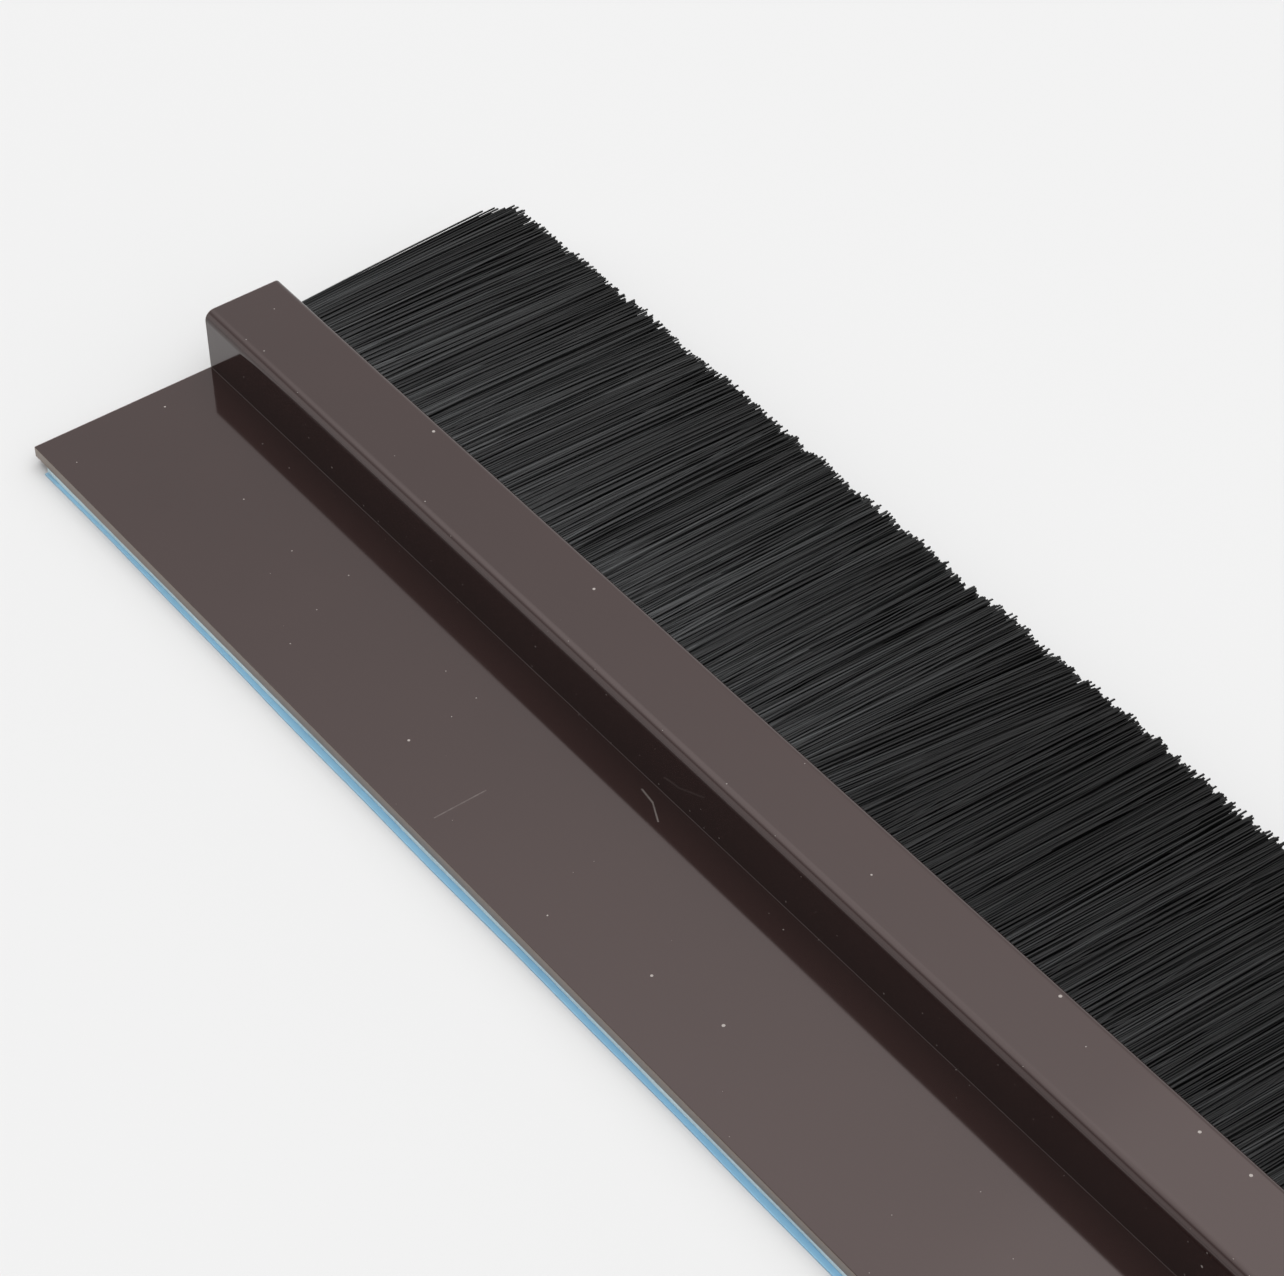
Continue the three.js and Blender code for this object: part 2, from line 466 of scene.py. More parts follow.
profile_outline = rounded([
    (0, back, RIM_ROUND),
    (face, back, SMALL_ROUND),
    (face, middle - MOUTH_HALF, SMALL_ROUND),
    (lip, middle - MOUTH_HALF, SMALL_ROUND),
    (lip, cavity_low, SMALL_ROUND),
    (cavity, cavity_low, SMALL_ROUND),
    (cavity, cavity_high, SMALL_ROUND),
    (lip, cavity_high, SMALL_ROUND),
    (lip, middle + MOUTH_HALF, SMALL_ROUND),
    (face, middle + MOUTH_HALF, SMALL_ROUND),
    (face, top, BROW_ROUND),
    (FLANGE_WIDTH, top, SHOULDER_ROUND),
    (FLANGE_WIDTH, back + WALL, FOOT_ROUND),
    (0, back + WALL, RIM_ROUND),
])


def slow_waves(x, a, u):
    """Millimetres that cooling has moved a point of the profile."""
    loose = max(0.0, 1 - a / FLANGE_WIDTH)
    rise = 0.012 * math.sin(x * 61 + 0.4) + 0.008 * math.sin(x * 143 + a * 0.2)
    side = 0.010 * math.sin(x * 37 + 1.0) * (u - back) / (top - back)
    return side, rise * loose


profile_places = stations(profile_low.x, profile_high.x, 7 * MM)
profile = add_object(
    "profile",
    swept_mesh("profile", profile_outline, profile_places, 0.08, slow_waves),
    plastic,
)
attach(profile, "carrier")
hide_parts("carrier_profile")
print("profile faces:", len(profile.data.polygons))

# %% [markdown]
# ## Foam tape
#
# The tape is a pale foam strip with glue on both sides, and only its edge shows, as a thin light
# line under the flange. A flat strip would do from far away. Close up its cut edge is slightly
# uneven, so the sweep lets it wander by a tenth of a millimetre, and the finish has the small
# closed bubbles of foam.

# %% Tape
def pale_foam():
    material, tree, shader = start_material("pale_foam", IOR=1.45)
    vector, x, y, z = place_in_mm(tree)
    bubbles = add(tree, "ShaderNodeTexVoronoi", {}, {"Vector": vector, "Scale": 1 / 0.12})
    cloud = noise(tree, vector, 3.0)
    colour = between(tree, cloud, (0.66, 0.80, 0.84), (0.78, 0.88, 0.90))
    link(between(tree, bubbles, (0.55, 0.68, 0.72), colour), shader, "Base Color")
    link(0.55 + cloud * 0.15, shader, "Roughness")
    link(bump(tree, bubbles, 0.00002), shader, "Normal")
    return material


def uneven_cut(x, a, u):
    """Millimetres by which a knife has wandered at a point of the tape's edge."""
    return 0.03 * math.sin(x * 211) + 0.02 * math.sin(x * 577 + 1.3), 0


tape_outline = rounded([
    (across(tape_low.y) + 0.03, up(tape_low.z), 0.06),
    (across(tape_high.y), up(tape_low.z), 0.06),
    (across(tape_high.y), up(tape_high.z), 0.06),
    (across(tape_low.y) + 0.03, up(tape_high.z), 0.06),
], steps=3, hold=0.03)
tape = add_object(
    "foam_tape",
    swept_mesh("foam_tape", tape_outline, stations(tape_low.x, tape_high.x, 3 * MM), 0, uneven_cut),
    pale_foam(),
)
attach(tape, "carrier")
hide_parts("mounting_tape")

# %% [markdown]
# ## Release liner
#
# The liner is a thin blue film that peels off before use. It stands out half a millimetre past
# the tape, so that a nail can catch it. It could be a bare sheet with no thickness, but its
# bright edge is one of the things one notices, so it is a real, thin solid with an edge that
# waves slightly.

# %% Liner
def blue_film():
    material, tree, shader = start_material("blue_film", IOR=1.48)
    vector, x, y, z = place_in_mm(tree)
    rolled = noise(tree, stretched(tree, x, y, z, 30.0), 1.5)
    cloud = noise(tree, vector, 20.0)
    colour = between(tree, cloud, (0.16, 0.40, 0.66), (0.27, 0.52, 0.73))
    link(between(tree, rolled * 0.75, colour, (0.36, 0.61, 0.74)), shader, "Base Color")
    link(0.25 + rolled * 0.15, shader, "Roughness")
    link(bump(tree, rolled, 0.00002), shader, "Normal")
    return material


def film_edge(x, a, u):
    """Millimetres by which the film's edges wave. It was cut a little askew at the far end."""
    askew = 0.22 * max(0.0, 1 - (x - profile_low.x) / 0.06) * (a < 1)
    return askew + 0.05 * math.sin(x * 83 + 0.7) + 0.03 * math.sin(x * 307), 0


liner_outline = rounded([
    (across(liner_low.y), up(liner_low.z), 0.05),
    (across(liner_high.y), up(liner_low.z), 0.05),
    (across(liner_high.y), up(liner_high.z), 0.05),
    (across(liner_low.y), up(liner_high.z), 0.05),
], steps=3, hold=0.03)
liner = add_object(
    "liner_film",
    swept_mesh(
        "liner_film", liner_outline, stations(liner_low.x, liner_high.x, 3 * MM), 0, film_edge,
    ),
    blue_film(),
)
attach(liner, "liner")
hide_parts("release_liner")

# %% [markdown]
# ## Steel spine
#
# Inside the channel a folded strip of zinc-coated steel pinches the filaments. Only its ends
# show, until the insert slides out. The fold has rounded back corners and two jaws bent in, so
# its outline is swept like the others. Zinc shows as dull patches of slightly different greys,
# crossed by faint lines from rolling.

# %% Spine
def zinc_steel():
    material, tree, shader = start_material("zinc_steel", Metallic=1.0)
    vector, x, y, z = place_in_mm(tree)
    flakes = add(tree, "ShaderNodeTexVoronoi", {}, {"Vector": vector, "Scale": 1 / 2.5}, "Color")
    flake = add(tree, "ShaderNodeSeparateColor", {}, {0: flakes})
    rolling = noise(tree, stretched(tree, x, y, z, 60.0), 0.3, 3.0)
    grey = between(tree, flake, (0.42, 0.43, 0.44), (0.60, 0.61, 0.62))
    link(between(tree, rolling * 0.4, grey, (0.50, 0.50, 0.49)), shader, "Base Color")
    link(0.28 + flake * 0.12 + rolling * 0.1, shader, "Roughness")
    link(bump(tree, rolling, 0.000008), shader, "Normal")
    return material


SHEET = 0.5
CRIMP_LENGTH = 1.2
JAW_HALF = 1.4
spine_start, spine_end = across(spine_low.y), across(spine_high.y)
spine_half = (spine_high.z - spine_low.z) / 2 / MM
inner_half = spine_half - SHEET
lower_jaw = [
    (spine_start, middle - spine_half, SHEET),
    (spine_end - CRIMP_LENGTH, middle - spine_half, 0.2),
    (spine_end, middle - JAW_HALF - SHEET, 0.1),
    (spine_end, middle - JAW_HALF, 0.1),
    (spine_end - CRIMP_LENGTH, middle - inner_half, 0.2),
    (spine_start + SHEET, middle - inner_half, SHEET / 2),
]
upper_jaw = [(a, 2 * middle - u, radius) for a, u, radius in reversed(lower_jaw)]
spine = add_object(
    "steel_spine",
    swept_mesh(
        "steel_spine", rounded(lower_jaw + upper_jaw, 6, 0.02),
        stations(spine_low.x, spine_high.x, 20 * MM), 0.03,
    ),
    zinc_steel(),
)
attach(spine, "brush")
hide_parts("brush_spine")

# %% [markdown]
# ## Core wire
#
# The filaments are folded over one long drawn wire. A cylinder would do for its length, but its
# ends are sheared, which leaves them slightly rounded. It is the same sweep with a round outline
# and a soft edge, and its finish is streaked along the length by the drawing die.

# %% Wire
def drawn_steel():
    material, tree, shader = start_material("drawn_steel", Metallic=1.0)
    vector, x, y, z = place_in_mm(tree)
    streaks = noise(tree, stretched(tree, x, y, z, 90.0), 0.12, 3.0)
    link(between(tree, streaks, (0.35, 0.35, 0.36), (0.58, 0.57, 0.56)), shader, "Base Color")
    link(0.22 + streaks * 0.2, shader, "Roughness")
    link(bump(tree, streaks, 0.000005), shader, "Normal")
    return material


WIRE_SIDES = 24
wire_radius = (wire_high.z - wire_low.z) / 2 / MM
wire_across = across((wire_low.y + wire_high.y) / 2)
wire_outline = [
    Vector((
        wire_across + wire_radius * math.cos(math.tau * side / WIRE_SIDES),
        middle + wire_radius * math.sin(math.tau * side / WIRE_SIDES),
    ))
    for side in range(WIRE_SIDES)
]
wire = add_object(
    "core_rod",
    swept_mesh("core_rod", wire_outline, stations(wire_low.x, wire_high.x, 30 * MM), 0.1),
    drawn_steel(),
)
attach(wire, "brush")
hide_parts("core_wire")

# %% [markdown]
# ## Nylon filament finish
#
# Each filament is black nylon, smooth, with a soft shine. Tens of thousands lie side by side,
# and they must not look like one moulded block: every filament has its own shade, and a painted
# sheen makes it paler near the mouth, so that it is darker towards the tip. A pattern in space
# would cut across filaments. So every filament carries its own map: sideways its shade, and
# upwards how far along it the point lies. The finish reads only those two.

# %% Nylon
def black_nylon():
    material, tree, shader = start_material("black_nylon", IOR=1.5, Specular_IOR_Level=0.28)
    place = add(tree, "ShaderNodeUVMap", {"uv_map": "OFBake"})
    shade = add(tree, "ShaderNodeSeparateXYZ", {}, {0: place}, "X")
    along = shade.out("Y")
    # The colour near the root is paler. That is a painted sheen for the light the filaments catch
    # there. The chance shade between dark and pale is each filament's own.
    root_with_painted_sheen = between(tree, shade, (0.004, 0.004, 0.0045), (0.0715, 0.0740, 0.0760))
    own = between(tree, shade, (0.0015, 0.0015, 0.0016), (0.0150, 0.0160, 0.0163))
    link(between(tree, along ** 0.7, root_with_painted_sheen, own), shader, "Base Color")
    link(0.46 - shade * 0.12, shader, "Roughness")
    return material


nylon = black_nylon()

# %% [markdown]
# ## The brush, filament by filament
#
# The free filaments are what the strip is for. Hair particles could stand in for them, but they
# leave no mesh to print or move. Geometry Nodes make real ones: one short line is copied some
# thousands of times, each copy is moved to its own root and given its own lean, bow, droop and
# length from seeded chances, and a three-sided section is run along it. Three sides and five
# points are enough, since each filament is a fifth of a millimetre thick. Neighbours share a
# part of their lean, which gathers them in small locks, and slow waves along the strip comb
# whole stretches one way or the other, as handling does.

# %% Inputs, chances and waves
def named_inputs(tree, inputs):
    """Adds inputs to a tree. Returns each one's wire, by name, and its identifier, by name."""
    kinds = {float: "NodeSocketFloat", int: "NodeSocketInt", "material": "NodeSocketMaterial"}
    identifiers = {}
    for name, kind in inputs.items():
        socket = tree.interface.new_socket(name, in_out="INPUT", socket_type=kinds[kind])
        identifiers[name] = socket.identifier
    tree.interface.new_socket("Geometry", in_out="OUTPUT", socket_type="NodeSocketGeometry")
    group = tree.nodes.new("NodeGroupInput")
    return {name: Wire(tree, group.outputs[name]) for name in inputs}, identifiers


def chance(tree, index, seed, low=0.0, high=1.0):
    """A seeded random number for each filament."""
    values = {2: low, 3: high, "ID": index, "Seed": seed}
    return add(tree, "FunctionNodeRandomValue", {"data_type": "FLOAT"}, values, 1)


def smooth_noise(tree, position, size, offset):
    """Noise from -1 to 1 along one direction, with features of about the size."""
    settings = {"noise_dimensions": "1D"}
    values = {"W": position * (1 / size) + offset, "Scale": 1.0, "Detail": 1.0}
    return (add(tree, "ShaderNodeTexNoise", settings, values, 0) - 0.5) * 2.0


# %% [markdown]
# ## From lines to filaments
#
# Each line becomes a solid with three sides and closed ends. A pattern in space can't tell two
# touching filaments apart, so the section also stores the map that the nylon finish reads. The
# map has a little width, because a map with none would bake to nothing.

# %% Sections and their map
SHADE_STRIP = 1 / 64


def finish_filaments(tree, curves, thickness, index, seed, shade, along, material):
    """Runs a three-sided section along each curve and stores its own map. Ends the tree."""
    tilt = chance(tree, index, seed + 90, 0.0, 2.1)
    curves = add(tree, "GeometryNodeSetCurveTilt", {}, {"Curve": curves, "Tilt": tilt})
    ring = add(
        tree, "GeometryNodeCurvePrimitiveCircle", {"mode": "RADIUS"},
        {"Resolution": 3, "Radius": thickness * 0.58},
    )
    around = add(tree, "GeometryNodeSplineParameter", {}, {}, "Factor")
    ring = add(
        tree, "GeometryNodeCaptureAttribute", {"items": {"around": "FLOAT"}},
        {"Geometry": ring, "around": around},
    )
    mesh = add(
        tree, "GeometryNodeCurveToMesh", {},
        {"Curve": curves, "Profile Curve": ring, "Fill Caps": True},
    )
    sideways = shade.most(0.01).least(0.98) + ring.out("around") * SHADE_STRIP
    own_map = add(tree, "ShaderNodeCombineXYZ", {}, {"X": sideways, "Y": along})
    mesh = add(
        tree, "GeometryNodeStoreNamedAttribute", {"data_type": "FLOAT2", "domain": "CORNER"},
        {"Geometry": mesh, "Name": "OFBake", "Value": own_map},
    )
    mesh = add(tree, "GeometryNodeSetShadeSmooth", {}, {0: mesh})
    mesh = add(tree, "GeometryNodeRealizeInstances", {}, {0: mesh})
    mesh = add(tree, "GeometryNodeSetMaterial", {}, {"Geometry": mesh, "Material": material})
    output = tree.nodes.new("NodeGroupOutput")
    tree.links.new(mesh.socket, output.inputs[0])


def filament_lines(tree, count, points):
    """Straight lines, one for each filament, with its number and each point's place along it."""
    line = add(tree, "GeometryNodeCurvePrimitiveLine", {}, {"End": (0.0, 1.0, 0.0)})
    line = add(tree, "GeometryNodeResampleCurve", {}, {"Curve": line, "Count": points})
    lines = add(
        tree, "GeometryNodeDuplicateElements", {"domain": "SPLINE"},
        {"Geometry": line, "Amount": count},
    )
    number = lines.out("Duplicate Index")
    along = add(tree, "GeometryNodeSplineParameter", {}, {}, "Factor")
    kept = add(
        tree, "GeometryNodeCaptureAttribute", {"items": {"along": "FLOAT"}},
        {"Geometry": lines, "along": along},
    )
    return kept, number, kept.out("along")


# %% [markdown]
# ## How the strip is combed
#
# Near the far end the filaments lean in broad sweeps, which one could paint on with a brush tool.
# A float curve says the same thing in a few points: a place along the first 100 mm, and a lean in
# degrees there. Past them slow waves take over. Both ends splay outwards, a few strays stand
# across the others, and in one stretch the filaments cross more than elsewhere. Right at the ends
# everything calms down, so that no filament stands off from the rest.

# %% Lean of each filament
COMB_STRETCH = 100 * MM
FAR_COMB = [
    (0.0, -0.6), (0.14, -0.2), (0.34, -0.2), (0.39, -1.5), (0.47, -1.9), (0.59, -1.7),
    (0.70, -0.3), (0.77, 4.6), (0.81, 2.5), (0.85, 0.2), (1.0, 0.0),
]
COMB_RANGE = 10.0
COMB_WAVE, COMB_SWING = 16 * MM, 4.0
SPLAY, SPLAY_REACH = 4.5, 8 * MM
LOCK_LEAN, OWN_LEAN, CROSSED_LEAN, STRAY_LEAN = 0.45, 1.5, 1.6, 7.0
STRAYS_ABOVE = 0.97


def rising(value, start, steepness):
    """0 before the start, then rising to 1."""
    return ((value - start) * steepness).most(0.0).least(1.0)


def near_end(distance, reach):
    """1 at an end of the brush, falling to 0 at the reach."""
    return (1.0 - distance / reach).most(0.0) ** 2.0


def combed(tree, root_x, from_far):
    """The lean in degrees that a whole stretch of filaments shares."""
    comb = add(
        tree, "ShaderNodeFloatCurve",
        {"stops": [(place, 0.5 + lean / (2 * COMB_RANGE)) for place, lean in FAR_COMB]},
        {"Value": from_far.least(1.0)},
    )
    comb = (comb - 0.5) * (2 * COMB_RANGE)
    waves = smooth_noise(tree, root_x, COMB_WAVE, 3.7) * COMB_SWING
    return comb + rising(from_far, 1.0, 1.0) * waves


def leaning(tree, number, lock, seed, root_x, from_far, to_far, to_near, calm):
    """Each filament's lean in degrees."""
    lock_lean = chance(tree, lock, 5, -1.0, 1.0)
    own_lean = chance(tree, number, seed + 3, -1.0, 1.0) * chance(tree, number, seed + 4)
    stray = chance(tree, number, seed + 6) > STRAYS_ABOVE
    stray = chance(tree, number, seed + 5, -1.0, 1.0) * stray
    crossing = rising(from_far, 0.38, 6.0) * ((0.86 - from_far) * 8.0).most(0.0).least(1.0)
    own_lean = own_lean * (OWN_LEAN + crossing * CROSSED_LEAN)
    loose = lock_lean * LOCK_LEAN + own_lean + stray * STRAY_LEAN
    splay = near_end(to_near, SPLAY_REACH) - near_end(to_far, SPLAY_REACH)
    return combed(tree, root_x, from_far) + loose * (calm * 0.85 + 0.15) + splay * SPLAY


# %% [markdown]
# ## Length and shade
#
# A brush is trimmed, but never to a line: each filament, each lock and each few millimetres ends
# a little higher or lower, and the corners are cut back. The shade has its own chances too. Past
# 70 mm from the far end the filaments are painted darker, a painted shade for the light they catch
# there.

# %% Cut and shade of each filament
CORNER_CUT, CORNER_REACH = 3.0 * MM, 1.4 * MM
CALM_REACH = 5 * MM
BOW, RISE, LOCK_RISE = 0.3 * MM, 0.12 * MM, 0.10 * MM


def cut_length(tree, number, lock, seed, root_x, to_far, to_near, inputs):
    """Each filament's free length in metres."""
    uneven = chance(tree, number, seed + 7, -1.0, 1.0) * inputs["Ragged"]
    uneven = uneven + smooth_noise(tree, root_x, 3 * MM, 9.1) * inputs["Ragged"] * 0.45
    uneven = uneven + chance(tree, lock, 8, -1.0, 1.0) * inputs["Ragged"] * 0.6
    corner = near_end(to_far, CORNER_REACH) + near_end(to_near, CORNER_REACH)
    return inputs["Tip"] - inputs["Root"] + uneven - corner * CORNER_CUT


def shading(tree, number, lock, seed, root_x, from_far):
    """Each filament's shade, from 0 for dark to 1 for pale, lowered past 70 mm by a painted shade.
    """
    worn = chance(tree, number, seed + 10) ** 2.2 + smooth_noise(tree, root_x, 12 * MM, 5.3) * 0.18
    # Past 70 mm the shade is lowered. This is painted shade, not a change in the nylon or in how
    # the filaments lie.
    painted_darkening = rising(from_far, 0.70, 10.0) * (1.0 - rising(from_far, 1.0, 1.0) * 0.5)
    return worn + chance(tree, lock, 7, -0.12, 0.12) - painted_darkening * 0.68 + 0.15


# %% [markdown]
# ## The whole filament
#
# Roots are dealt out in rows of ten layers, with a chance shift, so that the pack is even and has
# no bare gaps. A filament then runs out from its root: it leans, bows, droops a little, and the
# pack opens slightly towards the tips.

# %% The tree for one section
def brush_tree():
    tree = bpy.data.node_groups.new("brush_filaments", "GeometryNodeTree")
    tree.is_modifier = True
    sizes = ["Start", "End", "Far End", "Near End", "Root", "Tip", "Middle", "Root Thickness",
             "Tip Thickness", "Droop", "Thickness", "Ragged", "Lock Width"]
    kinds = {**{size: float for size in sizes}, "Count": int, "Layers": int, "Seed": int}
    inputs, names = named_inputs(tree, {**kinds, "Material": "material"})
    seed, layers = inputs["Seed"], inputs["Layers"]
    lines, number, along = filament_lines(tree, inputs["Count"], 5)
    reach = along ** 1.7

    row = ((number + 0.5) / layers).floor()
    layer = number - row * layers
    shift = 0.5 + chance(tree, layer, seed) + chance(tree, number, seed, -0.35, 0.35)
    spread = (row + shift) / (inputs["Count"] / layers)
    root_x = inputs["Start"] + (inputs["End"] - inputs["Start"]) * spread
    height = layer + 0.5 + chance(tree, number, seed + 1, -0.3, 0.3)
    height = height / layers * 2.0 - 1.0

    lock = (root_x / inputs["Lock Width"] + chance(tree, number, seed + 2) * 0.7).floor()
    to_far, to_near = root_x - inputs["Far End"], inputs["Near End"] - root_x
    from_far = to_far * (1 / COMB_STRETCH)
    calm = (to_far.least(to_near) / CALM_REACH).least(1.0)
    lean = leaning(tree, number, lock, seed, root_x, from_far, to_far, to_near, calm)
    free = cut_length(tree, number, lock, seed, root_x, to_far, to_near, inputs)
    bow = chance(tree, number, seed + 8, -1.0, 1.0) * BOW * (calm * 0.9 + 0.1)
    rise = chance(tree, number, seed + 9, -1.0, 1.0) * RISE
    rise = rise + chance(tree, lock, 6, -1.0, 1.0) * LOCK_RISE

    x = root_x + reach * free * lean * math.radians(1) + bow * reach * (1.0 - reach) * 4.0
    y = inputs["Root"] + reach * free
    half = inputs["Root Thickness"] * (1.0 - reach) + inputs["Tip Thickness"] * reach
    z = inputs["Middle"] + height * half * 0.5 - inputs["Droop"] * (reach ** 1.3) + rise * reach
    place = add(tree, "ShaderNodeCombineXYZ", {}, {"X": x, "Y": y, "Z": z})
    curves = add(tree, "GeometryNodeSetPosition", {}, {"Geometry": lines, "Position": place})
    shade = shading(tree, number, lock, seed, root_x, from_far)
    finish_filaments(
        tree, curves, inputs["Thickness"], number, seed, shade, reach, inputs["Material"],
    )
    return tree, names


filament_tree, filament_inputs = brush_tree()
print("filament tree nodes:", len(filament_tree.nodes))

# %% [markdown]
# ## Ten sections of brush
#
# The brush bends where it is pushed, so the CAD model has ten short sections on hinges along the
# mouth. One mesh for the whole brush could not bend in one place only. The tree is therefore run
# once for each section, with roots that meet their neighbours' in the middle of the gap, so that
# no seam shows. Each result is turned into a plain mesh.

# %% Grow the sections
FILAMENT_THICKNESS = 0.175 * MM
FILAMENTS = 6000
ROOT_DEPTH = 0.9 * MM
PACK = 2.2 * MM
TIP_PACK = 2.6 * MM
END_INSET = 0.6 * MM
SECTION_NAMES = sorted(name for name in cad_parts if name.startswith("bristle_section"))


def grown(name, tree, names, values):
    """Runs a tree on an empty mesh and keeps the result as a plain mesh."""
    seedling = bpy.data.objects.new(name + "_seedling", bpy.data.meshes.new(name + "_seedling"))
    bpy.context.scene.collection.objects.link(seedling)
    modifier = seedling.modifiers.new("grow", "NODES")
    modifier.node_group = tree
    for label, value in values.items():
        modifier[names[label]] = value
    graph = bpy.context.evaluated_depsgraph_get()
    mesh = bpy.data.meshes.new_from_object(seedling.evaluated_get(graph), depsgraph=graph)
    mesh.name = name
    bpy.data.objects.remove(seedling)
    return mesh


brush_start, brush_end = spine_low.x + END_INSET, spine_high.x - END_INSET
boxes = [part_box(name) for name in SECTION_NAMES]
for index, (name, (low, high)) in enumerate(zip(SECTION_NAMES, boxes)):
    start = brush_start if index == 0 else (boxes[index - 1][1].x + low.x) / 2
    end = brush_end if index == len(boxes) - 1 else (high.x + boxes[index + 1][0].x) / 2
    mesh = grown("brush_" + name[-2:], filament_tree, filament_inputs, {
        "Start": start, "End": end, "Far End": brush_start, "Near End": brush_end,
        "Root": profile_high.y - ROOT_DEPTH, "Tip": high.y, "Middle": middle_z,
        "Root Thickness": PACK - FILAMENT_THICKNESS,
        "Tip Thickness": TIP_PACK - FILAMENT_THICKNESS,
        "Droop": 0.8 * MM, "Thickness": FILAMENT_THICKNESS, "Ragged": 0.38 * MM,
        "Lock Width": 1.3 * MM, "Count": FILAMENTS, "Layers": 10,
        "Seed": 100 * (index + 1), "Material": nylon,
    })
    section = add_object("brush_" + name[-2:], mesh, nylon)
    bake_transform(section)
    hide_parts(name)
print("triangles in one section:", sum(len(p.vertices) - 2 for p in mesh.polygons))

# %% [markdown]
# ## The folded ends
#
# Inside the spine the filaments are bent round the wire. That shows only at the two cut ends,
# where one looks straight at the hairpins. Making all of them would cost a million faces that
# nobody sees. So the long middle is one solid bundle with the same outline, and each end gets a
# short stretch of real hairpins from a second tree: down one leg, round the wire, and back.

# %% Hairpins
LEG_SHARE = 0.28


def hairpin_tree():
    tree = bpy.data.node_groups.new("folded_filaments", "GeometryNodeTree")
    tree.is_modifier = True
    sizes = ["Start", "End", "Wire Across", "Middle", "Wire Radius", "Fold Radius", "Mouth",
             "Thickness", "Meet"]
    kinds = {**{size: float for size in sizes}, "Count": int, "Seed": int}
    inputs, names = named_inputs(tree, {**kinds, "Material": "material"})
    seed = inputs["Seed"]
    lines, number, along = filament_lines(tree, inputs["Count"], 19)
    spread = (number + chance(tree, number, seed)) / inputs["Count"]
    root_x = inputs["Start"] + (inputs["End"] - inputs["Start"]) * spread
    depth = chance(tree, number, seed + 1)
    radius = inputs["Wire Radius"] + (inputs["Fold Radius"] - inputs["Wire Radius"]) * depth
    turn = ((along - LEG_SHARE) / (1 - 2 * LEG_SHARE)).most(0.0).least(1.0)
    angle = inputs["Meet"] + (math.tau - inputs["Meet"] * 2.0) * turn
    leg = ((LEG_SHARE - along).most(0.0) + (along - (1 - LEG_SHARE)).most(0.0)) / LEG_SHARE
    knee = inputs["Wire Across"] + radius * angle.sum("COSINE", angle)
    y = knee + (inputs["Mouth"] - knee) * leg
    z = inputs["Middle"] + radius * angle.sum("SINE", angle)
    x = root_x + chance(tree, number, seed + 2, -1.0, 1.0) * (0.08 * MM) * along
    place = add(tree, "ShaderNodeCombineXYZ", {}, {"X": x, "Y": y, "Z": z})
    curves = add(tree, "GeometryNodeSetPosition", {}, {"Geometry": lines, "Position": place})
    shade = chance(tree, number, seed + 3, 0.1, 0.7)
    finish_filaments(
        tree, curves, inputs["Thickness"], number, seed, shade, along, inputs["Material"],
    )
    return tree, names


END_DEPTH = 1.2 * MM
FOLD_RADIUS = 1.3
PACK_HALF = PACK / MM / 2
meet = math.asin(PACK_HALF / FOLD_RADIUS)
hairpins, hairpin_inputs = hairpin_tree()


# %% [markdown]
# ## The long bundle
#
# Between the two stretches of hairpins the bundle is one solid: two legs that run to the mouth and
# a round back. It is a twentieth of a millimetre slimmer than the hairpins, so that they cover its
# ends. The wire reaches a little past it, as it does on a cut strip.

# %% Bundle
BUNDLE_STEPS = 28
SLIMMER = 0.05


def fold_outline():
    """The bundle's outline: two legs and a round back."""
    leg_end, leg_half = face - 0.1, PACK_HALF - SLIMMER
    outer = [Vector((leg_end, middle - leg_half)), Vector((leg_end, middle + leg_half))]
    radius = FOLD_RADIUS - SLIMMER
    for step in range(BUNDLE_STEPS + 1):
        angle = meet + (math.tau - 2 * meet) * step / BUNDLE_STEPS
        outward = Vector((math.cos(angle), math.sin(angle)))
        outer.append(Vector((wire_across, middle)) + outward * radius)
    return outer


bundle_start, bundle_end = fold_low.x + END_DEPTH * 0.9, fold_high.x - END_DEPTH * 0.9
bundle = swept_mesh("bundle", fold_outline(), stations(bundle_start, bundle_end, 20 * MM))
shape = bmesh.new()
shape.from_mesh(bundle)
shape.loops.layers.uv.new("OFBake")
layer = shape.loops.layers.uv["OFBake"]
for bundle_face in shape.faces:
    for loop in bundle_face.loops:
        loop[layer].uv = (loop.vert.co.x * 1.09 + 0.5, 0.02 + (loop.vert.co.z - 0.002) * 20)
cut_ends = ((fold_low.x, fold_low.x + END_DEPTH), (fold_high.x - END_DEPTH, fold_high.x))
for start, end in cut_ends:
    pins = grown("pins", hairpins, hairpin_inputs, {
        "Start": start + FILAMENT_THICKNESS, "End": end, "Wire Across": edge_y + wire_across * MM,
        "Middle": middle_z, "Wire Radius": (wire_radius + 0.2) * MM,
        "Fold Radius": FOLD_RADIUS * MM - FILAMENT_THICKNESS / 2, "Mouth": profile_high.y - 0.0001,
        "Thickness": FILAMENT_THICKNESS, "Meet": meet, "Count": 110, "Seed": 7, "Material": nylon,
    })
    shape.from_mesh(pins)
    bpy.data.meshes.remove(pins)
shape.to_mesh(bundle)
shape.free()
fold = add_object("folded_bundle", bundle, nylon)
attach(fold, "brush")
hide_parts("filament_fold")
print("bundle faces:", len(bundle.polygons))

# %% [markdown]
# ## Floor and light
#
# The strip lies on a seamless pale surface under soft light from all round. A lamp would give
# hard streaks on the plastic. A pale world gives even light. It is dim on the flange's side, which
# keeps the wall of the channel dark, apart from one soft window that draws the pale line along the
# shoulder. One large soft panel behind the brush gives the gentle shadow on the flange's side.

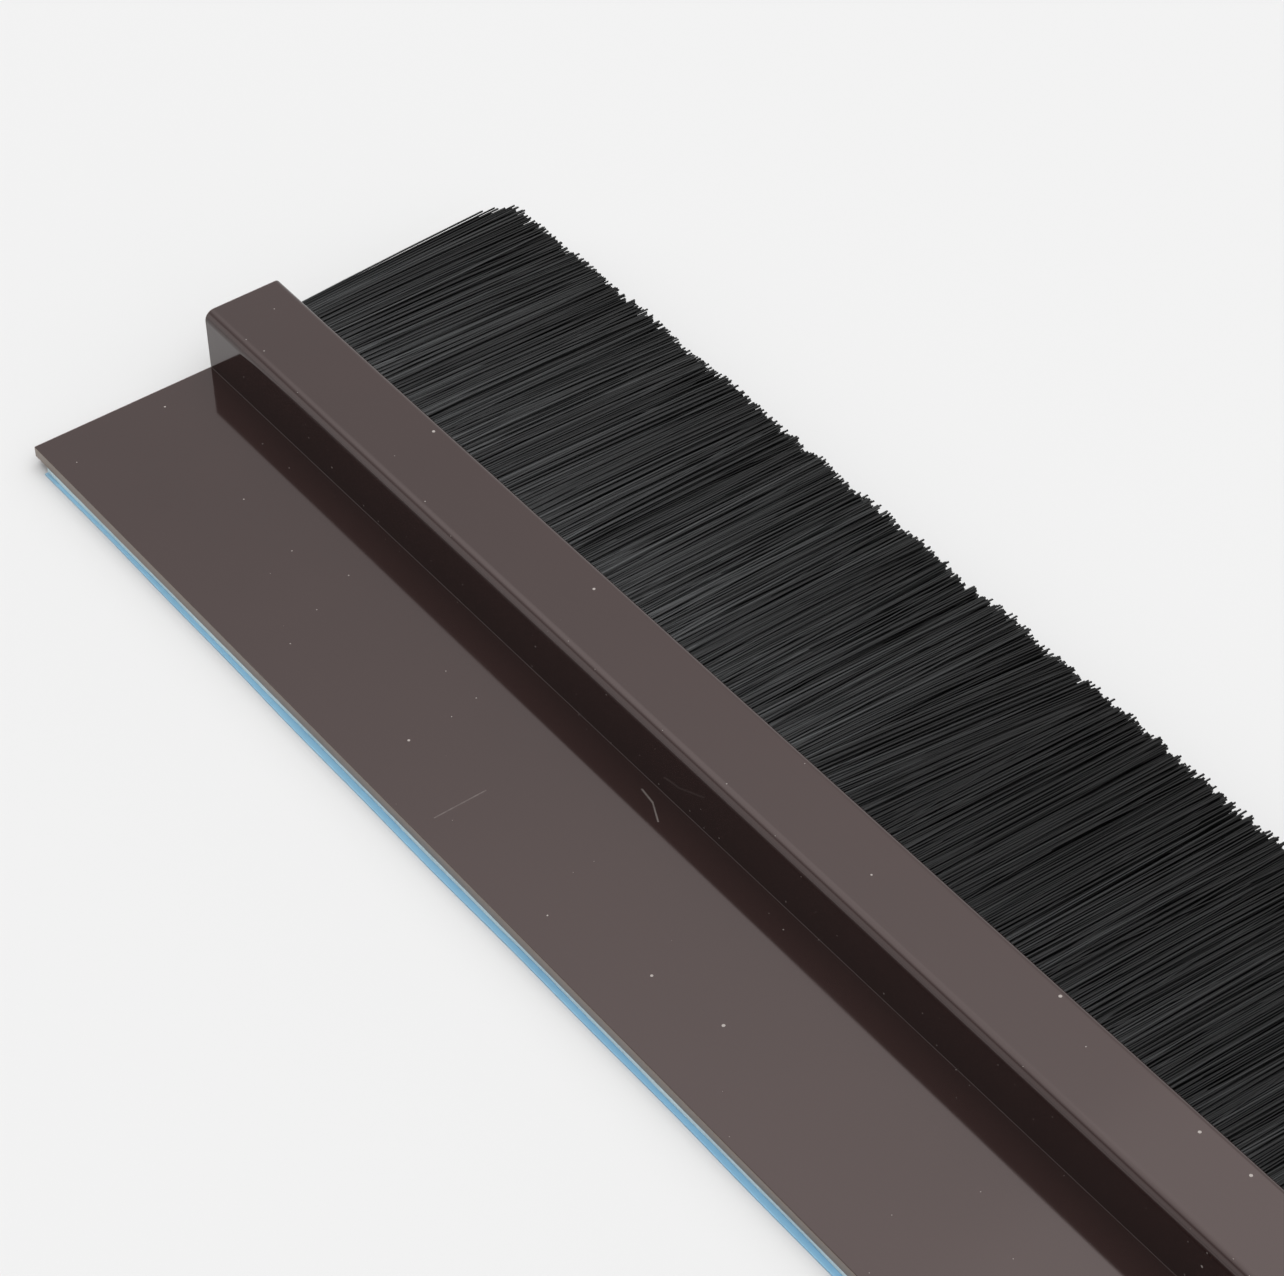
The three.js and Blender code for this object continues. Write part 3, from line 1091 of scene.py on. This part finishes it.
# %% Floor
FLOOR_SIZE = 60.0
FLOOR_DARK, FLOOR_LIGHT = (0.695, 0.695, 0.695), (0.705, 0.705, 0.705)
shape = bmesh.new()
bmesh.ops.create_grid(shape, x_segments=1, y_segments=1, size=FLOOR_SIZE / 2)
floor_mesh = bpy.data.meshes.new("floor")
shape.to_mesh(floor_mesh)
shape.free()
floor_material, floor_tree, floor_shader = start_material(
    "floor", Roughness=0.8, Specular_IOR_Level=0.0,
)
floor_cloud = noise(floor_tree, place_in_mm(floor_tree)[0], 300.0)
link(between(floor_tree, floor_cloud, FLOOR_DARK, FLOOR_LIGHT), floor_shader, "Base Color")
floor = add_object("floor", floor_mesh, floor_material)

# %% World
NEAR_SIDE, LOW_SKY, HIGH_SKY, BACKDROP = 0.14, 0.97, 1.9, 0.875
WINDOW, WINDOW_STRENGTH = (-0.62, -0.74, 0.25), 0.95
world = bpy.data.worlds.new("soft_room")
world.use_nodes = True
sky_tree = world.node_tree
sky = sky_tree.nodes["Background"]
direction = add(sky_tree, "ShaderNodeTexCoord", out="Generated")
parts = add(sky_tree, "ShaderNodeSeparateXYZ", {}, {0: direction}, "X")


def smooth_ramp(tree, value, start, end, low, high):
    """A soft change from low to high as the value goes from start to end."""
    settings = {"interpolation_type": "SMOOTHSTEP"}
    values = {0: value, 1: start, 2: end, 3: low, 4: high}
    return add(tree, "ShaderNodeMapRange", settings, values)


from_behind = smooth_ramp(sky_tree, parts.out("Y"), -0.90, -0.10, NEAR_SIDE, 1.0)
from_above = smooth_ramp(sky_tree, parts.out("Z"), 0.62, 0.80, LOW_SKY, HIGH_SKY)
seen = add(sky_tree, "ShaderNodeLightPath", out="Is Camera Ray")
towards_window = add(
    sky_tree, "ShaderNodeVectorMath", {"operation": "DOT_PRODUCT"},
    {0: direction, 1: WINDOW}, "Value",
)
window = smooth_ramp(sky_tree, towards_window, 0.90, 0.98, 0.0, WINDOW_STRENGTH)
glow = from_behind * from_above + window
link(glow + seen * (BACKDROP - glow), sky, "Strength")
sky.inputs["Color"].default_value = (1.0, 1.0, 1.0, 1.0)
bpy.context.scene.world = world

# %% Soft panel
panel_light = bpy.data.lights.new("soft_panel", "AREA")
panel_light.shape = "RECTANGLE"
panel_light.size, panel_light.size_y = 1.6, 1.0
panel_light.energy = 1.0
panel = bpy.data.objects.new("soft_panel", panel_light)
bpy.context.scene.collection.objects.link(panel)
panel.location = (-0.4, 0.5, 1.4)
panel.rotation_mode = "QUATERNION"
panel.rotation_quaternion = (panel.location - Vector((-0.4, 0, 0))).to_track_quat("Z", "Y")

# %% [markdown]
# ## Camera
#
# The camera looks down on the far end from the flange's side with a long lens, close enough for
# the strip to run out of the frame. It could be dragged into place by hand. Here its direction,
# roll and distance are numbers, so that the same view comes back every time.

# %% Camera
AZIMUTH, ELEVATION, ROLL = (math.radians(angle) for angle in (56.17, 42.01, -2.64))
LENS = 127.86
DISTANCE = 370.5 * MM
TARGET = Vector((profile_low.x + 52.0 * MM, edge_y + 27.0 * MM, 1.8 * MM))

backwards = Vector((
    math.sin(AZIMUTH) * math.cos(ELEVATION),
    -math.cos(AZIMUTH) * math.cos(ELEVATION),
    math.sin(ELEVATION),
))
level = Vector((0, 0, 1)).cross(backwards).normalized()
upright = backwards.cross(level)
sideways = level * math.cos(ROLL) + upright * math.sin(ROLL)
upwards = upright * math.cos(ROLL) - level * math.sin(ROLL)
camera_data = bpy.data.cameras.new("camera")
camera_data.lens = LENS
camera_data.clip_start, camera_data.clip_end = 0.01, 20.0
camera = bpy.data.objects.new("camera", camera_data)
bpy.context.scene.collection.objects.link(camera)
turn = Matrix((sideways, upwards, backwards)).transposed().to_4x4()
camera.matrix_world = Matrix.Translation(TARGET + backwards * DISTANCE) @ turn
bpy.context.scene.camera = camera
bpy.context.scene.view_settings.view_transform = "Standard"
